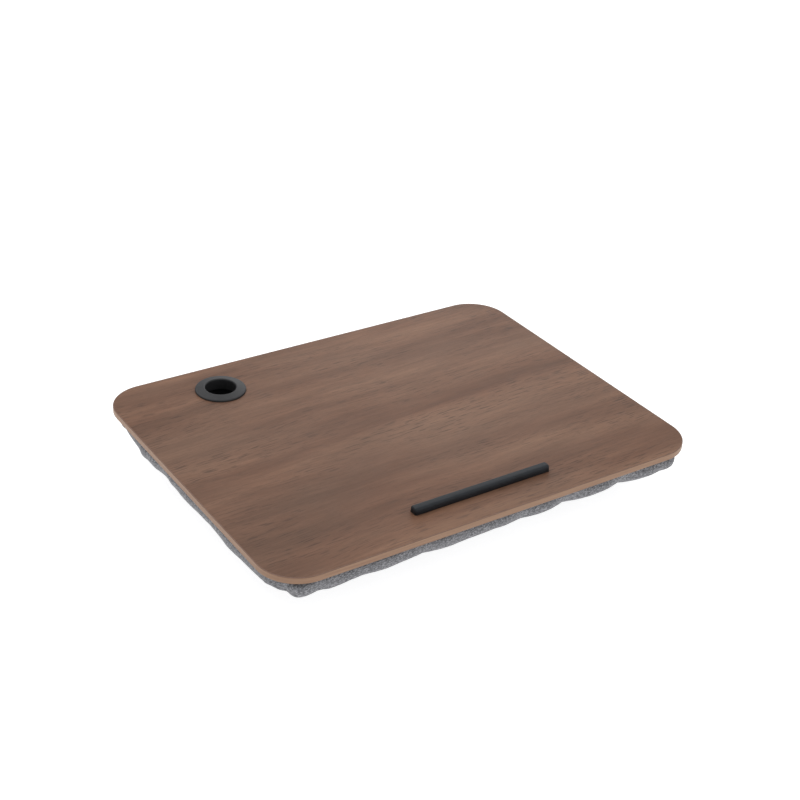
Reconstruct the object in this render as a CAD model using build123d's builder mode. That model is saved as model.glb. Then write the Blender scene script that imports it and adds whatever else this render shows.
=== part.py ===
"""Cushioned lap desk: a walnut-faced board on a soft, gathered cushion.

Frame: millimetres, +Z up, +X to the user's right, +Y away from the user. The origin is the
centre of the footprint, on the surface that the cushion stands on.
"""

from build123d import *
import math
import os

# Board
board_length = 530.0
board_depth = 410.0
board_corner_radius = 45.0
core_thickness = 5.8
top_laminate_thickness = 0.6
bottom_laminate_thickness = 0.6
edge_band_thickness = 1.2
edge_band_arris = 0.5

# Cable grommet, at the back left
grommet_from_left_edge = 124.5
grommet_from_back_edge = 52.5
cable_hole_radius = 17.5
sleeve_wall = 2.0
sleeve_fit = 0.2
flange_radius = 29.0
flange_edge_height = 2.0
flange_edge_rounding = 1.5
lip_height = 4.0
lip_radius = 1.5
lock_ring_width = 4.5
lock_ring_thickness = 1.5
lock_ring_fit = 0.15
lock_bead_width = 0.9

# Stop strip, along the board's front
strip_length = 174.0
strip_width = 13.5
strip_height = 7.0
strip_top_width = 10.5
strip_end_lean = 0.5
strip_top_rounding = 2.0
strip_corner_radius = 2.5
strip_from_front_edge = 42.3
strip_from_left_edge = 175.5
strip_tape_thickness = 0.5
strip_tape_margin = 1.0

# Hook-and-loop strips between board and cushion
hook_thickness = 1.0
loop_thickness = 1.2
hook_loop_width = 25.0
hook_loop_corner = 3.0
hook_loop_from_edge = 40.0
front_hook_loop_to_side = 85.0
side_hook_loop_to_front = 95.0
hook_loop_to_lock_ring = 14.0

# Cushion
cushion_height = 52.0
cushion_to_board_edge = 4.0
zip_wall_to_board_edge = 5.0
cushion_corner_radius = 41.0
seam_inset = 3.0
rim_depth = 12.0
rim_inset = 0.3
rim_radius = 5.0
shoulder_levels = 3
crown_reach = 120.0
crown_levels = 6
crown_level_power = 1.5
back_fullness = 12.0
side_draw_in = 0.8
gather_depth = 6.5
gather_fade = 0.92
base_cut = 0.5
cover_thickness = 1.2
panel_thickness = 1.0
bag_thickness = 0.8
layer_gap = 0.3
pillow_corner_radius = 40.0

# Gathers round the cushion's rim: place along the side, share of the full gather depth
front_gathers = ((-168.0, 0.27), (-96.0, 0.46), (28.0, 0.46), (87.0, 0.92), (167.0, 1.0))
side_gathers = ((-50.0, 0.3), (45.0, 0.4))
right_gathers = side_gathers
left_gathers = tuple((-place, share) for place, share in reversed(side_gathers))
corner_gather = 0.85
corner_end_gather = 0.3

# Cable pocket under the grommet
pocket_mouth_radius = 24.0
pocket_floor_radius = 19.0
pocket_depth = 18.0
pocket_floor_rounding = 4.0
pocket_wall = 0.8
pocket_seam_width = 7.0

# Zip along the cushion's back
zip_to_corner = 30.0
zip_slot_height = 12.0
zip_slot_corner = 1.0
zip_below_top = 9.0
zip_tape_width = 4.6
zip_tape_thickness = 0.6
zip_tape_end = 5.0
zip_behind_cover = 0.2
zip_chain_width = 2.4
zip_chain_thickness = 1.8
zip_chain_gap = 1.3
zip_chain_proud = 1.0
zip_chain_rounding = 0.6
zip_stop_length = 2.5
zip_stop_cover = 0.6
zip_stop_rounding = 0.5
zip_clearance = 0.25

# Slider
slider_length = 11.0
slider_wing_thickness = 1.2
slider_flange_width = 1.0
slider_corner_radius = 2.0
slider_post_length = 4.0
slider_post_width = 0.8
slider_post_from_mouth = 0.6
bridge_length = 9.4
bridge_bar_thickness = 1.2
bridge_bar_width = 1.6
bridge_leg_length = 1.2
bridge_rounding = 1.0
slider_stop_gap = 0.4

# Pull tab
tab_length = 24.0
tab_width = 7.0
tab_thickness = 1.2
tab_arm_width = 1.4
tab_eye_length = 6.5
tab_clearance = 0.3
tab_eye_play = 0.4
tab_eye_corner = 0.4
tab_shoulder_length = 3.0
tab_end_radius = 2.5
tab_hinge_rounding = 0.58
tab_grip_length = 8.0
tab_grip_width = 3.0
tab_grip_from_end = 8.0

# Heights, worked out upwards from the surface that the cushion stands on
cushion_top = cushion_height
board_bottom = cushion_top + loop_thickness + hook_thickness
core_bottom = board_bottom + bottom_laminate_thickness
core_top = core_bottom + core_thickness
board_top = core_top + top_laminate_thickness
board_thickness = board_top - board_bottom

# Places shared by several pieces
grommet_x = grommet_from_left_edge - board_length / 2
grommet_y = board_depth / 2 - grommet_from_back_edge
sleeve_radius = cable_hole_radius + sleeve_wall
board_hole_radius = sleeve_radius + sleeve_fit
lock_ring_radius = sleeve_radius + lock_ring_fit + lock_ring_width
strip_x = strip_from_left_edge + strip_length / 2 - board_length / 2
strip_y = strip_from_front_edge - board_depth / 2
cushion_half_length = board_length / 2 - cushion_to_board_edge
cushion_front_y = cushion_to_board_edge - board_depth / 2
zip_wall_y = board_depth / 2 - zip_wall_to_board_edge
cushion_middle_y = (cushion_front_y + zip_wall_y) / 2
cushion_half_depth = (zip_wall_y - cushion_front_y) / 2
panel_bottom = cushion_top - panel_thickness

# Zip places: its wall faces +Y, and its depth is measured inwards from that wall
zip_length = 2 * (cushion_half_length - cushion_corner_radius - zip_to_corner)
zip_z = cushion_top - zip_below_top
zip_tape_face = zip_wall_y - cover_thickness - zip_behind_cover
zip_chain_face = zip_tape_face + zip_chain_proud
zip_chain_back = zip_chain_face - zip_chain_thickness
zip_half_chain = zip_chain_gap / 2 + zip_chain_width
slider_front_back_face = zip_chain_face + zip_clearance
slider_front_face = slider_front_back_face + slider_wing_thickness
slider_rear_front_face = zip_chain_back - zip_clearance
slider_rear_face = slider_rear_front_face - slider_wing_thickness
slider_half_height = zip_half_chain + zip_clearance + slider_flange_width
zip_well = zip_wall_y - slider_rear_face + layer_gap
slider_x = zip_length / 2 - zip_stop_length - slider_stop_gap - slider_length / 2
slider_travel = 2 * slider_x
tab_pivot_y = slider_front_face + tab_clearance + tab_thickness / 2
bridge_inner_face = tab_pivot_y + tab_thickness / 2 + tab_clearance
bridge_outer_face = bridge_inner_face + bridge_bar_thickness

os.makedirs("parts", exist_ok=True)


def save(piece, name):
    """Name a finished piece and write it."""
    piece.part.label = name
    export_step(piece.part, f"parts/{name}.step")


def side_facing(y):
    """A plane at y whose sketches are seen from the front: x to the right, z up."""
    return Plane.XZ.offset(-y)


# Board outline, shared by its layers

def board_outline(height):
    """The outline inside the edge band at a height, with the cable hole."""
    with BuildSketch(Plane.XY.offset(height)) as outline:
        RectangleRounded(
            board_length - 2 * edge_band_thickness,
            board_depth - 2 * edge_band_thickness,
            board_corner_radius - edge_band_thickness,
        )
        with Locations((grommet_x, grommet_y)):
            Circle(board_hole_radius, mode=Mode.SUBTRACT)
    return outline.sketch


with BuildPart() as bottom_laminate:
    extrude(board_outline(board_bottom), amount=bottom_laminate_thickness)
save(bottom_laminate, "bottom_laminate")

with BuildPart() as board_core:
    extrude(board_outline(core_bottom), amount=core_thickness)
save(board_core, "board_core")

with BuildPart() as top_laminate:
    extrude(board_outline(core_top), amount=top_laminate_thickness)
save(top_laminate, "top_laminate")

with BuildPart() as edge_band:
    with BuildSketch(Plane.XY.offset(board_bottom)):
        RectangleRounded(board_length, board_depth, board_corner_radius)
        offset(amount=-edge_band_thickness, mode=Mode.SUBTRACT)
    extrude(amount=board_thickness)
    top_rim = edge_band.faces().sort_by(Axis.Z)[-1].outer_wire().edges()
    bottom_rim = edge_band.faces().sort_by(Axis.Z)[0].outer_wire().edges()
    fillet(top_rim + bottom_rim, radius=edge_band_arris)
save(edge_band, "edge_band")

# Cable grommet: a flange that rises to a rounded lip, and a sleeve with a locking bead

grommet_section = Plane(origin=(grommet_x, grommet_y, 0), x_dir=(1, 0, 0), z_dir=(0, -1, 0))
grommet_axis = Axis((grommet_x, grommet_y, 0), (0, 0, 1))
bead_top = board_bottom - lock_ring_thickness
lip_top = board_top + lip_height

with BuildPart() as cable_grommet:
    with BuildSketch(grommet_section):
        with BuildLine():
            flange = Polyline(
                (cable_hole_radius + lip_radius, lip_top),
                (flange_radius, board_top + flange_edge_height),
                (flange_radius, board_top),
                (sleeve_radius, board_top),
                (sleeve_radius, bead_top),
                (sleeve_radius + lock_bead_width, bead_top),
                (sleeve_radius, cushion_top),
                (cable_hole_radius, cushion_top),
                (cable_hole_radius, lip_top - lip_radius),
            )
            RadiusArc(flange @ 1, flange @ 0, lip_radius)
        make_face()
    revolve(axis=grommet_axis)
    flange_rims = cable_grommet.edges().filter_by(GeomType.CIRCLE).group_by(SortBy.RADIUS)[-1]
    fillet(flange_rims.sort_by(Axis.Z)[-1], radius=flange_edge_rounding)
save(cable_grommet, "cable_grommet")

with BuildPart() as grommet_lock_ring:
    with BuildSketch(Plane.XY.offset(bead_top)):
        with Locations((grommet_x, grommet_y)):
            Circle(lock_ring_radius)
            Circle(sleeve_radius + lock_ring_fit, mode=Mode.SUBTRACT)
    extrude(amount=lock_ring_thickness)
save(grommet_lock_ring, "grommet_lock_ring")

# Stop strip: a bar with leaning sides, rounded ends and a rounded top, on its tape


def strip_outline(height, width, length):
    """The strip's outline in plan at a height, with rounded corners."""
    with BuildSketch(Plane.XY.offset(height)) as outline:
        with Locations((strip_x, strip_y)):
            RectangleRounded(length, width, strip_corner_radius)
    return outline.sketch


strip_bottom = board_top + strip_tape_thickness
strip_top = strip_bottom + strip_height

with BuildPart() as stop_strip:
    loft(
        sections=[
            strip_outline(strip_bottom, strip_width, strip_length),
            strip_outline(strip_top, strip_top_width, strip_length - 2 * strip_end_lean),
        ]
    )
    fillet(stop_strip.faces().sort_by(Axis.Z)[-1].edges(), radius=strip_top_rounding)
save(stop_strip, "stop_strip")

with BuildPart() as stop_strip_tape:
    with BuildSketch(Plane.XY.offset(board_top)):
        with Locations((strip_x, strip_y)):
            RectangleRounded(
                strip_length - 2 * strip_tape_margin,
                strip_width - 2 * strip_tape_margin,
                strip_corner_radius - strip_tape_margin,
            )
    extrude(amount=strip_tape_thickness)
save(stop_strip_tape, "stop_strip_tape")

# Hook-and-loop strips: the hook half under the board, the loop half on the cushion

hook_loop_x = board_length / 2 - hook_loop_from_edge
hook_loop_y = board_depth / 2 - hook_loop_from_edge
front_hook_loop_end = board_length / 2 - front_hook_loop_to_side
back_hook_loop_start = grommet_x + lock_ring_radius + hook_loop_to_lock_ring
side_hook_loop_length = board_depth - 2 * side_hook_loop_to_front
hook_loop_places = {
    "front": ((0, -hook_loop_y), 2 * front_hook_loop_end, hook_loop_width),
    "back": (
        ((back_hook_loop_start + front_hook_loop_end) / 2, hook_loop_y),
        front_hook_loop_end - back_hook_loop_start,
        hook_loop_width,
    ),
    "left": ((-hook_loop_x, 0), hook_loop_width, side_hook_loop_length),
    "right": ((hook_loop_x, 0), hook_loop_width, side_hook_loop_length),
}

for side, (place, along_x, along_y) in hook_loop_places.items():
    with BuildPart() as loop_tape:
        with BuildSketch(Plane.XY.offset(cushion_top)):
            with Locations(place):
                RectangleRounded(along_x, along_y, hook_loop_corner)
        extrude(amount=loop_thickness)
    save(loop_tape, f"loop_tape_{side}")

    with BuildPart() as hook_tape:
        with BuildSketch(Plane.XY.offset(cushion_top + loop_thickness)):
            with Locations(place):
                RectangleRounded(along_x, along_y, hook_loop_corner)
        extrude(amount=hook_thickness)
    save(hook_tape, f"hook_tape_{side}")

# Cushion: outlines stacked in height, each a rounded rectangle drawn in at the gathers


def cushion_outline(height, inset, back_inset, gather):
    """The cushion's outline at a height, as arcs that bulge from gather to gather."""
    half_x = cushion_half_length - inset
    front_y = cushion_front_y + inset
    back_y = zip_wall_y - back_inset
    middle_y = (front_y + back_y) / 2
    straight_x = half_x - cushion_corner_radius
    straight_y = (back_y - front_y) / 2 - cushion_corner_radius
    full_straight_x = cushion_half_length - cushion_corner_radius
    full_straight_y = cushion_half_depth - cushion_corner_radius
    # Each side: its middle, the way round, its straight half, that half at full size, its gathers
    sides = (
        (Vector(0, front_y), Vector(1, 0), straight_x, full_straight_x, front_gathers),
        (Vector(half_x, middle_y), Vector(0, 1), straight_y, full_straight_y, right_gathers),
        (Vector(0, back_y), Vector(-1, 0), straight_x, full_straight_x, ()),
        (Vector(-half_x, middle_y), Vector(0, -1), straight_y, full_straight_y, left_gathers),
    )
    end_depth = gather * corner_end_gather
    half_corner_angle = 90 / 2

    def on_side(side, share, depth):
        """A point at a share of a side's straight half, drawn in by a depth."""
        middle, along, straight, _, gathers = side
        draw_in = side_draw_in * (1 - share**2) if gathers else 0
        return middle + along * (share * straight) + along.rotate(Axis.Z, 90) * (depth + draw_in)

    def on_corner(side, turn, depth):
        """A point part of the way round the corner that ends a side."""
        middle, along, straight, _, _ = side
        inward = along.rotate(Axis.Z, 90)
        centre = middle + along * straight + inward * cushion_corner_radius
        return centre - inward.rotate(Axis.Z, turn) * (cushion_corner_radius - depth)

    with BuildSketch(Plane.XY.offset(height)) as outline:
        with BuildLine():
            for number, side in enumerate(sides):
                full_straight, gathers = side[-2:]
                next_gathers = sides[(number + 1) % len(sides)][-1]
                start_depth = end_depth if gathers else 0
                next_depth = end_depth if next_gathers else 0
                stops = [(-1, start_depth)]
                stops += [(place / full_straight, gather * share) for place, share in gathers]
                stops += [(1, start_depth)]
                for (start, depth), (end, stop_depth) in zip(stops, stops[1:]):
                    if gathers:
                        ThreePointArc(
                            on_side(side, start, depth),
                            on_side(side, (start + end) / 2, 0),
                            on_side(side, end, stop_depth),
                        )
                    else:
                        Line(on_side(side, start, depth), on_side(side, end, stop_depth))
                for turn, depth, stop_depth in (
                    (0, start_depth, gather * corner_gather),
                    (half_corner_angle, gather * corner_gather, next_depth),
                ):
                    ThreePointArc(
                        on_corner(side, turn, depth),
                        on_corner(side, turn + half_corner_angle / 2, 0),
                        on_corner(side, turn + half_corner_angle, stop_depth),
                    )
        make_face()
    return outline.sketch


def cushion_profile(top_depth):
    """The cushion's side from its top seam to its base.

    Each point has a depth below the top, an inset, the lean of the surface's normal from level,
    and the share of the full gather there.
    """
    profile = [
        (top_depth, seam_inset, 0, top_depth / rim_depth),
        ((top_depth + rim_depth) / 2, 0, 0, (top_depth + rim_depth) / rim_depth / 2),
        (rim_depth, rim_inset, 0, 1),
    ]
    # The shoulder is an arc that turns from the upright wall to the crown's first slope
    crown_drop = cushion_height + base_cut - rim_depth - rim_radius
    crown_slope = crown_drop * math.pi / 2 / crown_reach
    shoulder_turn = math.pi / 2 - math.atan(crown_slope)
    for step in range(1, shoulder_levels + 1):
        turn = shoulder_turn * step / shoulder_levels
        inset = rim_inset + rim_radius * (1 - math.cos(turn))
        profile.append((rim_depth + rim_radius * math.sin(turn), inset, turn, 1))
    # The crown is a quarter sine wave that the base cuts flat
    shoulder_depth, shoulder_inset = profile[-1][:2]
    crown_drop = cushion_height + base_cut - shoulder_depth
    base_turn = math.asin((crown_drop - base_cut) / crown_drop)
    for step in range(1, crown_levels + 1):
        turn = base_turn * (step / crown_levels) ** crown_level_power
        share = turn / (math.pi / 2)
        slope = crown_drop / crown_reach * math.pi / 2 * math.cos(turn)
        profile.append(
            (
                shoulder_depth + crown_drop * math.sin(turn),
                shoulder_inset + crown_reach * share,
                math.pi / 2 - math.atan(slope),
                1 - gather_fade * share,
            )
        )
    return profile


def cover_levels(shrink):
    """The stack of outlines of the cover's outer face, or of its inner face with a shrink."""
    return [
        cushion_outline(
            cushion_top - depth + shrink * math.sin(lean),
            inset + shrink * math.cos(lean),
            max(inset - back_fullness, 0) + shrink,
            gather_depth * gather,
        )
        for depth, inset, lean, gather in cushion_profile(panel_thickness)
    ]


with BuildPart() as cushion_cover:
    loft(sections=cover_levels(0), ruled=True)
    loft(sections=cover_levels(cover_thickness), ruled=True, mode=Mode.SUBTRACT)
    with BuildSketch(side_facing(zip_wall_y)):
        with Locations((0, zip_z)):
            RectangleRounded(zip_length, zip_slot_height, zip_slot_corner)
    extrude(amount=zip_wall_y - zip_tape_face, mode=Mode.SUBTRACT)
save(cushion_cover, "cushion_cover")

with BuildPart() as cushion_top_panel:
    extrude(cover_levels(0)[0], amount=panel_thickness)
    with BuildSketch(Plane.XY.offset(panel_bottom)):
        with Locations((grommet_x, grommet_y)):
            Circle(pocket_mouth_radius)
    extrude(amount=panel_thickness, mode=Mode.SUBTRACT)
save(cushion_top_panel, "cushion_top_panel")

# Cable pocket: a cloth cup whose rim is sewn under the top panel

pocket_floor_z = cushion_top - pocket_depth
pocket_rim_bottom = panel_bottom - pocket_wall

with BuildPart() as cable_pocket:
    with BuildSketch(grommet_section):
        with BuildLine():
            Polyline(
                (pocket_mouth_radius, panel_bottom),
                (pocket_mouth_radius + pocket_seam_width, panel_bottom),
                (pocket_mouth_radius + pocket_seam_width, pocket_rim_bottom),
                (pocket_mouth_radius + pocket_wall, pocket_rim_bottom),
                (pocket_floor_radius + pocket_wall, pocket_floor_z - pocket_wall),
                (0, pocket_floor_z - pocket_wall),
                (0, pocket_floor_z),
                (pocket_floor_radius, pocket_floor_z),
                close=True,
            )
        make_face()
    revolve(axis=grommet_axis)
    floor_edges = cable_pocket.edges().filter_by(GeomType.CIRCLE).sort_by(Axis.Z)[:2]
    fillet(floor_edges, radius=pocket_floor_rounding)
save(cable_pocket, "cable_pocket")


# Inner pillow: a plain bag and its filling, with room for the pocket and the zip


def pocket_room(room):
    """The space that the pocket takes out of the pillow, wider than the pocket by a room."""
    floor_z = pocket_floor_z - pocket_wall - room
    with BuildSketch(Plane.XY.offset(pocket_rim_bottom)) as mouth:
        with Locations((grommet_x, grommet_y)):
            Circle(pocket_mouth_radius + pocket_wall + room)
    with BuildSketch(Plane.XY.offset(floor_z)) as floor:
        with Locations((grommet_x, grommet_y)):
            Circle(pocket_floor_radius + pocket_wall + room)
    return Solid.make_loft([mouth.sketch.wire(), floor.sketch.wire()])


def pillow_levels(shrink):
    """The stack of plain outlines of the pillow, inside the cover's gathers."""
    levels = []
    top_depth = cushion_top - pocket_rim_bottom
    for depth, inset, lean, gather in cushion_profile(top_depth):
        side_inset = inset + shrink * math.cos(lean) + gather_depth * gather + side_draw_in
        back_inset = max(inset - back_fullness, 0) + shrink + zip_well - cover_thickness
        is_top = not levels
        height = cushion_top - depth + (-shrink if is_top else shrink * math.sin(lean))
        middle_y = cushion_middle_y + (side_inset - back_inset) / 2
        with BuildSketch(Plane.XY.offset(height)) as level:
            with Locations((0, middle_y)):
                RectangleRounded(
                    2 * (cushion_half_length - side_inset),
                    2 * cushion_half_depth - side_inset - back_inset,
                    pillow_corner_radius,
                )
        levels.append(level.sketch)
    return levels


def pillow_form(inside):
    """The pillow's form at a distance inside the bag's outer face, with room for the pocket."""
    with BuildPart() as form:
        loft(sections=pillow_levels(cover_thickness + layer_gap + inside), ruled=True)
        add(pocket_room(layer_gap + inside), mode=Mode.SUBTRACT)
    return form.part


bag_outside = pillow_form(0)
bag_inside = pillow_form(bag_thickness)

with BuildPart() as inner_bag:
    add(bag_outside)
    add(bag_inside, mode=Mode.SUBTRACT)
save(inner_bag, "inner_bag")

with BuildPart() as cushion_filling:
    add(pillow_form(bag_thickness + layer_gap))
save(cushion_filling, "cushion_filling")

# Zip: two tapes behind the slot's edges, two chains that meet in the middle, and their stops

zip_sides = {"upper": 1, "lower": -1}
zip_tape_length = zip_length + 2 * zip_tape_end
zip_chain_length = zip_length - 2 * zip_stop_length

for side, way in zip_sides.items():
    with BuildPart() as zip_tape:
        with BuildSketch(side_facing(zip_tape_face)):
            with Locations((0, zip_z + way * (zip_half_chain + zip_tape_width / 2))):
                Rectangle(zip_tape_length, zip_tape_width)
        extrude(amount=zip_tape_thickness)
    save(zip_tape, f"zip_tape_{side}")

    with BuildPart() as zip_chain:
        with BuildSketch(side_facing(zip_chain_face)):
            with Locations((0, zip_z + way * (zip_half_chain - zip_chain_width / 2))):
                Rectangle(zip_chain_length, zip_chain_width)
        extrude(amount=zip_chain_thickness)
        front_edges = zip_chain.faces().sort_by(Axis.Y)[-1].edges().filter_by(Axis.X)
        fillet(front_edges, radius=zip_chain_rounding)
    save(zip_chain, f"zip_chain_{side}")

zip_stop_x = (zip_length - zip_stop_length) / 2
zip_stop_face = zip_chain_face + zip_stop_cover
zip_stop_depth = zip_stop_face - zip_chain_back

with BuildPart() as zip_bottom_stop:
    with BuildSketch(side_facing(zip_stop_face)):
        with Locations((-zip_stop_x, zip_z)):
            Rectangle(zip_stop_length, 2 * zip_half_chain)
    extrude(amount=zip_stop_depth)
    fillet(zip_bottom_stop.faces().sort_by(Axis.Y)[-1].edges(), radius=zip_stop_rounding)
save(zip_bottom_stop, "zip_bottom_stop")

with BuildPart() as zip_top_stops:
    with BuildSketch(side_facing(zip_stop_face)):
        with Locations(
            (zip_stop_x, zip_z + zip_half_chain - zip_chain_width / 2),
            (zip_stop_x, zip_z - zip_half_chain + zip_chain_width / 2),
        ):
            Rectangle(zip_stop_length, zip_chain_width)
    extrude(amount=zip_stop_depth)
    fillet(zip_top_stops.faces().group_by(Axis.Y)[-1].edges(), radius=zip_stop_rounding)
save(zip_top_stops, "zip_top_stops")

# Slider: two wings joined by a post that runs between the chains, and a bridge for the tab

with BuildPart() as zip_slider:
    for wing_face in (slider_front_face, slider_rear_front_face):
        with BuildSketch(side_facing(wing_face)):
            with Locations((slider_x, zip_z)):
                RectangleRounded(slider_length, 2 * slider_half_height, slider_corner_radius)
        extrude(amount=slider_wing_thickness)
    with BuildSketch(side_facing(slider_front_back_face)):
        with GridLocations(0, 2 * slider_half_height - slider_flange_width, 1, 2):
            with Locations((slider_x, zip_z)):
                Rectangle(slider_length - 2 * slider_corner_radius, slider_flange_width)
    extrude(amount=zip_chain_proud)
    with BuildSketch(side_facing(slider_front_back_face)):
        post_x = slider_x + slider_length / 2 - slider_post_from_mouth - slider_post_length / 2
        with Locations((post_x, zip_z)):
            SlotOverall(slider_post_length, slider_post_width)
    extrude(amount=slider_front_back_face - slider_rear_front_face)
    with BuildSketch(Plane.XY.offset(zip_z - bridge_bar_width / 2)):
        bridge_height = bridge_outer_face - slider_front_face
        gap_height = bridge_inner_face - slider_front_face
        with Locations((slider_x, slider_front_face + bridge_height / 2)):
            arch = Rectangle(bridge_length, bridge_height)
        fillet(arch.vertices().group_by(Axis.Y)[-1], radius=bridge_rounding)
        with Locations((slider_x, slider_front_face + gap_height / 2)):
            Rectangle(bridge_length - 2 * bridge_leg_length, gap_height, mode=Mode.SUBTRACT)
    extrude(amount=bridge_bar_width)
save(zip_slider, "zip_slider")

# Pull tab: its eye goes round the bridge's bar, and its end bar turns under it

tab_eye_width = bridge_bar_width + 2 * tab_eye_play
tab_neck_width = tab_eye_width + 2 * tab_arm_width
tab_hinge_x = slider_x + tab_thickness / 2
tab_eye_start = slider_x - tab_thickness / 2
tab_eye_end = tab_eye_start - tab_eye_length
tab_wide_start = tab_eye_end - tab_shoulder_length
tab_tip_x = slider_x - tab_length

with BuildPart() as zip_pull_tab:
    with BuildSketch(side_facing(tab_pivot_y + tab_thickness / 2)):
        with BuildLine():
            Polyline(
                (tab_hinge_x, zip_z - tab_neck_width / 2),
                (tab_hinge_x, zip_z + tab_neck_width / 2),
                (tab_eye_end, zip_z + tab_neck_width / 2),
                (tab_wide_start, zip_z + tab_width / 2),
                (tab_tip_x, zip_z + tab_width / 2),
                (tab_tip_x, zip_z - tab_width / 2),
                (tab_wide_start, zip_z - tab_width / 2),
                (tab_eye_end, zip_z - tab_neck_width / 2),
                close=True,
            )
        outline = make_face()
        fillet(outline.vertices().group_by(Axis.X)[0], radius=tab_end_radius)
        with Locations(((tab_eye_start + tab_eye_end) / 2, zip_z)):
            RectangleRounded(
                tab_eye_length, tab_eye_width, tab_eye_corner, mode=Mode.SUBTRACT
            )
        with Locations((tab_tip_x + tab_grip_from_end, zip_z)):
            SlotOverall(tab_grip_length, tab_grip_width, mode=Mode.SUBTRACT)
    extrude(amount=tab_thickness)
    hinge_edges = zip_pull_tab.edges().filter_by(Axis.Z).group_by(Axis.X)[-1]
    fillet(hinge_edges, radius=tab_hinge_rounding)
save(zip_pull_tab, "zip_pull_tab")
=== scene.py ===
"""Cushioned lap desk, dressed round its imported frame.

Metres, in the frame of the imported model: +X to the user's right, +Y away from the user, +Z up,
and the origin is the centre of the footprint, on the surface that the cushion stands on.
"""

import math

import bmesh
import bpy
from mathutils import Matrix, Vector, noise


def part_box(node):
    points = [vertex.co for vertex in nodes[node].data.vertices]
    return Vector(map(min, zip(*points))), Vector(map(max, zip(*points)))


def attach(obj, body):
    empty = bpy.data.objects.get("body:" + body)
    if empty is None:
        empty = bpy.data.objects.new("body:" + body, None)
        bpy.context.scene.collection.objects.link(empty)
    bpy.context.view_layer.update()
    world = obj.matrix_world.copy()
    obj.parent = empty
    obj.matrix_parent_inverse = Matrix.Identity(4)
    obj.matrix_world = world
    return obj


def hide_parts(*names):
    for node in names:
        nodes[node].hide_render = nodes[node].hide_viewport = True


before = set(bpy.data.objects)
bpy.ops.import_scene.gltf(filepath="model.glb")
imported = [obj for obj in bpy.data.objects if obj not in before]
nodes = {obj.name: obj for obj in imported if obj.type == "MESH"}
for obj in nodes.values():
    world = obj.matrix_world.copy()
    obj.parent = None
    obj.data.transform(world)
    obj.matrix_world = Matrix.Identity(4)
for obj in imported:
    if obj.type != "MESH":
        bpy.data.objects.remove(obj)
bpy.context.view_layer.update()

desk = "desk"
mm = 0.001

# Places that the frame gives

board_low, board_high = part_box("edge_band")
panel_low, panel_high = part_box("cushion_top_panel")
pocket_low, pocket_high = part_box("cable_pocket")
grommet_low, grommet_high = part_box("cable_grommet")
upper_low, upper_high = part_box("zip_chain_upper")
lower_low, lower_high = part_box("zip_chain_lower")

cushion_top = panel_high.z
grommet_x = (grommet_low.x + grommet_high.x) / 2
grommet_y = (grommet_low.y + grommet_high.y) / 2
grommet_axis = Vector((grommet_x, grommet_y))
zip_z = (upper_high.z + lower_low.z) / 2

# The cushion's form, as in the part

cushion_to_board_edge = 4 * mm
zip_wall_to_board_edge = 5 * mm
corner_radius = 41 * mm
seam_inset = 3 * mm
rim_depth = 12 * mm
rim_inset = 0.3 * mm
rim_radius = 5 * mm
crown_reach = 120 * mm
back_fullness = 12 * mm
side_draw_in = 0.8 * mm
gather_depth = 6.5 * mm
gather_fade = 0.92
base_cut = 0.5 * mm
cover_thickness = 1.2 * mm
bag_thickness = 0.8 * mm
layer_gap = 0.3 * mm
zip_well = 4 * mm
corner_gather = 0.85
corner_end_gather = 0.3
front_gathers = ((-168, 0.27), (-96, 0.46), (28, 0.46), (87, 0.92), (167, 1.0))
right_gathers = ((-50, 0.3), (45, 0.4))
left_gathers = ((-45, 0.4), (50, 0.3))

half_length = board_high.x - cushion_to_board_edge
front_wall = board_low.y + cushion_to_board_edge
back_wall = board_high.y - zip_wall_to_board_edge
half_depth = (back_wall - front_wall) / 2

# The zip's slot in the cover, its stiff border, and how far in front of the back wall the points
# and the faces that it takes in may be

zip_half_slot = 190 * mm
zip_half_slot_height = 6 * mm
zip_slot_border = 5 * mm
zip_point_reach = 8 * mm
zip_face_reach = 2 * mm

# The cable pocket

pocket_mouth_radius = 24 * mm
pocket_floor_radius = 19 * mm
pocket_wall = 0.8 * mm

# Mesh fineness of the cushion

front_columns = 88
side_columns = 60
half_corner_columns = 7
wall_rows = 3
crown_rows = 22


def colour(red, green, blue):
    """A colour written as it looks on a screen, from 0 to 255, in Blender's own linear numbers."""
    def linear(value):
        value /= 255
        return value / 12.92 if value <= 0.04045 else ((value + 0.055) / 1.055) ** 2.4
    return (linear(red), linear(green), linear(blue), 1)


# Node writing


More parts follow.
